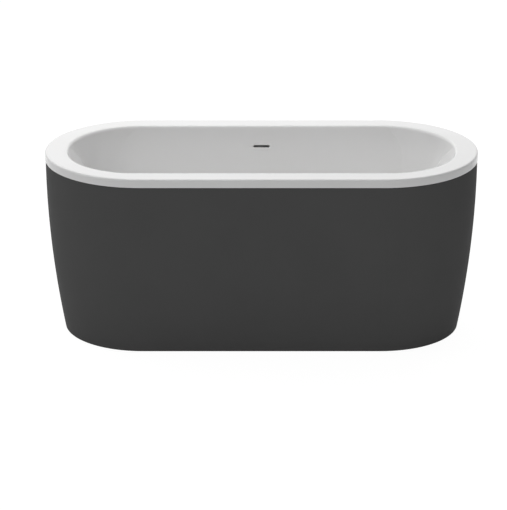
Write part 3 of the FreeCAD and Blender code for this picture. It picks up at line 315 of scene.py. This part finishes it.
def stand_in(mesh, node, slot, body):
    """Show the mesh in place of a node's plain CAD shape, on the body that carries the node."""
    mesh.materials.append(slot_materials[slot])
    shown = bpy.data.objects.new(mesh.name, mesh)
    bpy.context.collection.objects.link(shown)
    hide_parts(node)
    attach(shown, body)


def around():
    """The angles of a ring's points."""
    return [column * 2 * math.pi / COLUMNS for column in range(COLUMNS)]


# ---------------------------------------------------------------- threaded foot rods

THREAD_PITCH = 0.00175
THREAD_DEPTH = 0.0009
ROD_RADIUS = 0.006
ROD_TIP = 0.001
COLLAR_BEVEL = 0.0006
# points of the CAD rod further than this from its axis belong to its collar
COLLAR_STARTS = 0.0072
ROWS_PER_TURN = 6
ROD_SHARP_ANGLE = 35


def hexagon_reach(angle, flats):
    """Distance from the middle of a hexagon to its side at an angle; a corner is at angle 0."""
    return flats / 2 / math.cos(angle % (math.pi / 3) - math.pi / 6)


def thread_reach(angle, height):
    """Radius of a right-hand thread at an angle and a height."""
    phase = (height / THREAD_PITCH - angle / (2 * math.pi)) % 1.0
    return ROD_RADIUS - THREAD_DEPTH * (1 - abs(2 * phase - 1))


def rod_rings(low, high, collar_low, collar_high, flats):
    """Heights of the rod's rings, each with the function that gives its radius at an angle."""
    bevel_reach = flats / 2 + COLLAR_BEVEL / 2

    def plain(angle):
        return ROD_RADIUS

    def tip(angle):
        return ROD_RADIUS - ROD_TIP

    def side(angle):
        return hexagon_reach(angle, flats)

    def bevelled(angle):
        return min(side(angle), bevel_reach)

    def threaded(height):
        return lambda angle: thread_reach(angle, height)

    first = collar_high + THREAD_PITCH
    rings = [
        (low, tip), (low + ROD_TIP, plain), (collar_low, plain), (collar_low, bevelled),
        (collar_low + COLLAR_BEVEL, side), (collar_high - COLLAR_BEVEL, side),
        (collar_high, bevelled), (collar_high, plain), (first, plain),
    ]
    rows = int((high - ROD_TIP - first) / THREAD_PITCH * ROWS_PER_TURN)
    for row in range(1, rows + 1):
        height = first + row * THREAD_PITCH / ROWS_PER_TURN
        rings.append((height, threaded(height)))
    return rings + [(high, tip)]


def threaded_rod(index):
    """A foot's rod with its cut thread and the collar that a spanner turns."""
    node = "foot_rod_%d" % index
    low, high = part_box(node)
    axis_x, axis_y = (low.x + high.x) / 2, (low.y + high.y) / 2
    collar = [point.co.z for point in nodes[node].data.vertices
              if math.hypot(point.co.x - axis_x, point.co.y - axis_y) > COLLAR_STARTS]
    rings = []
    for height, reach in rod_rings(low.z, high.z, min(collar), max(collar), high.y - low.y):
        rings.append([(axis_x + reach(angle) * math.cos(angle),
                       axis_y + reach(angle) * math.sin(angle), height) for angle in around()])
    mesh = skin("threaded_rod_%d" % index, rings, False, ROD_SHARP_ANGLE)
    stand_in(mesh, node, "zinc_steel", node)


for index in (1, 2, 3, 4):
    threaded_rod(index)


# ---------------------------------------------------------------- corrugated overflow hose

HOSE_RADIUS = 0.013
HOSE_BORE = 0.011
HOSE_BEND = 0.070
HOSE_CUFF = 0.030
RIB_PITCH = 0.0045
RIB_DEPTH = 0.0013
# points of the CAD hose this close to its first one along Y belong to its first ring
END_RING_BAND = 0.0013
ROWS_PER_RIB = 6
BORE_STEP = 0.006
HOSE_SHARP_ANGLE = 60


def hose_course():
    """The hose's length, and a function from a distance along it to a middle point and a slope.

    The course lies in the YZ plane: level from the waste, one bend, then up at the lean of the
    overflow box. Its ends are read from the CAD hose's first and last rings.
    """
    places = [point.co for point in nodes["overflow_hose"].data.vertices]
    first_y, last_z = min(place.y for place in places), max(place.z for place in places)
    start = [place for place in places if place.y < first_y + END_RING_BAND]
    finish = [place for place in places if place.z > last_z - HOSE_RADIUS]
    start_z = (min(place.z for place in start) + max(place.z for place in start)) / 2
    near = min(finish, key=lambda place: place.y)
    far = max(finish, key=lambda place: place.y)
    end_y, end_z = (near.y + far.y) / 2, (near.z + far.z) / 2
    turn = math.pi / 2 + math.atan2(far.z - near.z, far.y - near.y)
    climb = (end_z - start_z) / math.sin(turn)
    corner_y = end_y - climb * math.cos(turn)
    tangent = HOSE_BEND * math.tan(turn / 2)
    level = corner_y - tangent - first_y
    bend_end = level + HOSE_BEND * turn

    def course(distance):
        if distance < level:
            return (first_y + distance, start_z), 0.0
        if distance < bend_end:
            slope = (distance - level) / HOSE_BEND
            return (first_y + level + HOSE_BEND * math.sin(slope),
                    start_z + HOSE_BEND * (1 - math.cos(slope))), slope
        along = distance - bend_end + tangent
        return (corner_y + along * math.cos(turn), start_z + along * math.sin(turn)), turn

    return bend_end + climb - tangent, course


def corrugated_hose():
    """The overflow hose with ribs between two plain cuffs, and a smooth bore."""
    length, course = hose_course()
    ribs = int((length - 2 * HOSE_CUFF) / RIB_PITCH)
    first = (length - ribs * RIB_PITCH) / 2
    stations = [(0.0, HOSE_RADIUS)]
    for row in range(ribs * ROWS_PER_RIB + 1):
        wave = (1 - math.cos(2 * math.pi * row / ROWS_PER_RIB)) / 2
        stations.append((first + row * RIB_PITCH / ROWS_PER_RIB, HOSE_RADIUS - RIB_DEPTH * wave))
    stations.append((length, HOSE_RADIUS))
    steps = round(length / BORE_STEP)
    stations += [(length * step / steps, HOSE_BORE) for step in range(steps, -1, -1)]
    rings = []
    for distance, radius in stations:
        (middle_y, middle_z), slope = course(distance)
        rings.append([(radius * math.cos(angle),
                       middle_y + radius * math.sin(angle) * math.sin(slope),
                       middle_z - radius * math.sin(angle) * math.cos(slope))
                      for angle in around()])
    mesh = skin("corrugated_hose", rings, True, HOSE_SHARP_ANGLE)
    stand_in(mesh, "overflow_hose", "hose_plastic", "root")


corrugated_hose()


# ---------------------------------------------------------------- floor, world, lamps and camera

WHITE = (1.0, 1.0, 1.0, 1.0)
FLOOR_SIDE = 60.0
FLOOR_GLOW = 1.09
GLOW_SHARE_SEEN = 0.88
GLOW_SHARE_LIGHTING = 0.17
ROOM_LIGHT = 0.04


def mix_shaders(tree, share, first, second):
    """A mix of two shaders; the share of the second is a number or a socket."""
    made = tree.nodes.new("ShaderNodeMixShader")
    if isinstance(share, float):
        made.inputs[0].default_value = share
    else:
        tree.links.new(share, made.inputs[0])
    tree.links.new(first.outputs[0], made.inputs[1])
    tree.links.new(second.outputs[0], made.inputs[2])
    return made


def coloured(tree, kind, colour, strength=None):
    """A shader node with one colour, and a strength where it gives light."""
    made = tree.nodes.new(kind)
    made.inputs["Color"].default_value = colour
    if strength is not None:
        made.inputs["Strength"].default_value = strength
    return made


def for_rays(tree, *kinds):
    """A socket that is 1 for these kinds of ray and 0 for the rest."""
    path = tree.nodes.new("ShaderNodeLightPath")
    answer = path.outputs[kinds[0]]
    for kind in kinds[1:]:
        larger = tree.nodes.new("ShaderNodeMath")
        larger.operation = "MAXIMUM"
        tree.links.new(answer, larger.inputs[0])
        tree.links.new(path.outputs[kind], larger.inputs[1])
        answer = larger.outputs[0]
    return answer


def floor():
    """A matt floor that looks nearly white, keeps the tub's shadow and lights it from below."""
    low, high = Vector(cad_box[0]), Vector(cad_box[1])
    middle = (low + high) / 2
    place = (middle.x, middle.y, low.z)
    bpy.ops.mesh.primitive_plane_add(size=FLOOR_SIDE, location=place)
    ground = bpy.context.object
    ground.name = "studio_floor"
    material = bpy.data.materials.new("studio_floor")
    material.use_nodes = True
    tree = material.node_tree
    tree.nodes.clear()
    matt = coloured(tree, "ShaderNodeBsdfDiffuse", (0.85, 0.85, 0.85, 1.0))
    pale = coloured(tree, "ShaderNodeBsdfDiffuse", (0.9, 0.9, 0.9, 1.0))
    glow = coloured(tree, "ShaderNodeEmission", WHITE, FLOOR_GLOW)
    lighting = mix_shaders(tree, GLOW_SHARE_LIGHTING, matt, glow)
    seen = mix_shaders(tree, GLOW_SHARE_SEEN, pale, glow)
    looked_at = for_rays(tree, "Is Camera Ray", "Is Glossy Ray")
    surface = mix_shaders(tree, looked_at, lighting, seen)
    out = tree.nodes.new("ShaderNodeOutputMaterial")
    tree.links.new(surface.outputs[0], out.inputs["Surface"])
    ground.data.materials.append(material)


def world():
    """White where the camera or a reflection looks, and a weak plain light everywhere else."""
    made = bpy.data.worlds.new("studio")
    bpy.context.scene.world = made
    made.use_nodes = True
    tree = made.node_tree
    tree.nodes.clear()
    lighting = coloured(tree, "ShaderNodeBackground", WHITE, ROOM_LIGHT)
    seen = coloured(tree, "ShaderNodeBackground", WHITE, 1.0)
    looked_at = for_rays(tree, "Is Camera Ray", "Is Glossy Ray", "Is Transmission Ray")
    surface = mix_shaders(tree, looked_at, lighting, seen)
    out = tree.nodes.new("ShaderNodeOutputWorld")
    tree.links.new(surface.outputs[0], out.inputs["Surface"])


def softbox(name, place, target, width, depth, watts):
    """A soft lamp that reflections look through, so that the bare metal shows the white studio."""
    lamp = bpy.data.lights.new(name, "AREA")
    lamp.shape = "RECTANGLE"
    lamp.size = width
    lamp.size_y = depth
    lamp.energy = watts
    holder = bpy.data.objects.new(name, lamp)
    holder.location = place
    holder.rotation_euler = (Vector(target) - Vector(place)).to_track_quat("-Z", "Y").to_euler()
    holder.visible_glossy = False
    bpy.context.collection.objects.link(holder)


LENS_LENGTH = 187.72
SENSOR_WIDTH = 36.0
LENS_SHIFT = -0.0157
CAMERA_PLACE = (0.0, -8.787, 3.461)
CAMERA_DIP = 20.063


def camera():
    """Long lens in front of the tub, a little above it, looking along +Y."""
    lens = bpy.data.cameras.new("camera")
    lens.lens = LENS_LENGTH
    lens.sensor_width = SENSOR_WIDTH
    lens.shift_x = LENS_SHIFT
    lens.clip_end = 200.0
    holder = bpy.data.objects.new("camera", lens)
    holder.location = CAMERA_PLACE
    holder.rotation_euler = (math.radians(90.0 - CAMERA_DIP), 0.0, 0.0)
    bpy.context.collection.objects.link(holder)
    bpy.context.scene.camera = holder


floor()
world()
softbox("top_box", (-0.6, 0.9, 4.2), (-0.6, 0.9, 0.6), 7.0, 5.5, 68.0)
softbox("back_box", (0, 3.0, 3.8), (0, 0.6, 0.6), 6.0, 3.0, 140.0)
softbox("left_box", (-2.8, 0.2, 4.4), (0.2, 0, 0.4), 3.0, 3.0, 60.0)
softbox("front_box", (0, -4.5, 2.6), (0, 0, 0.3), 4.0, 2.5, 42.0)
camera()
bpy.context.scene.view_settings.view_transform = "Standard"
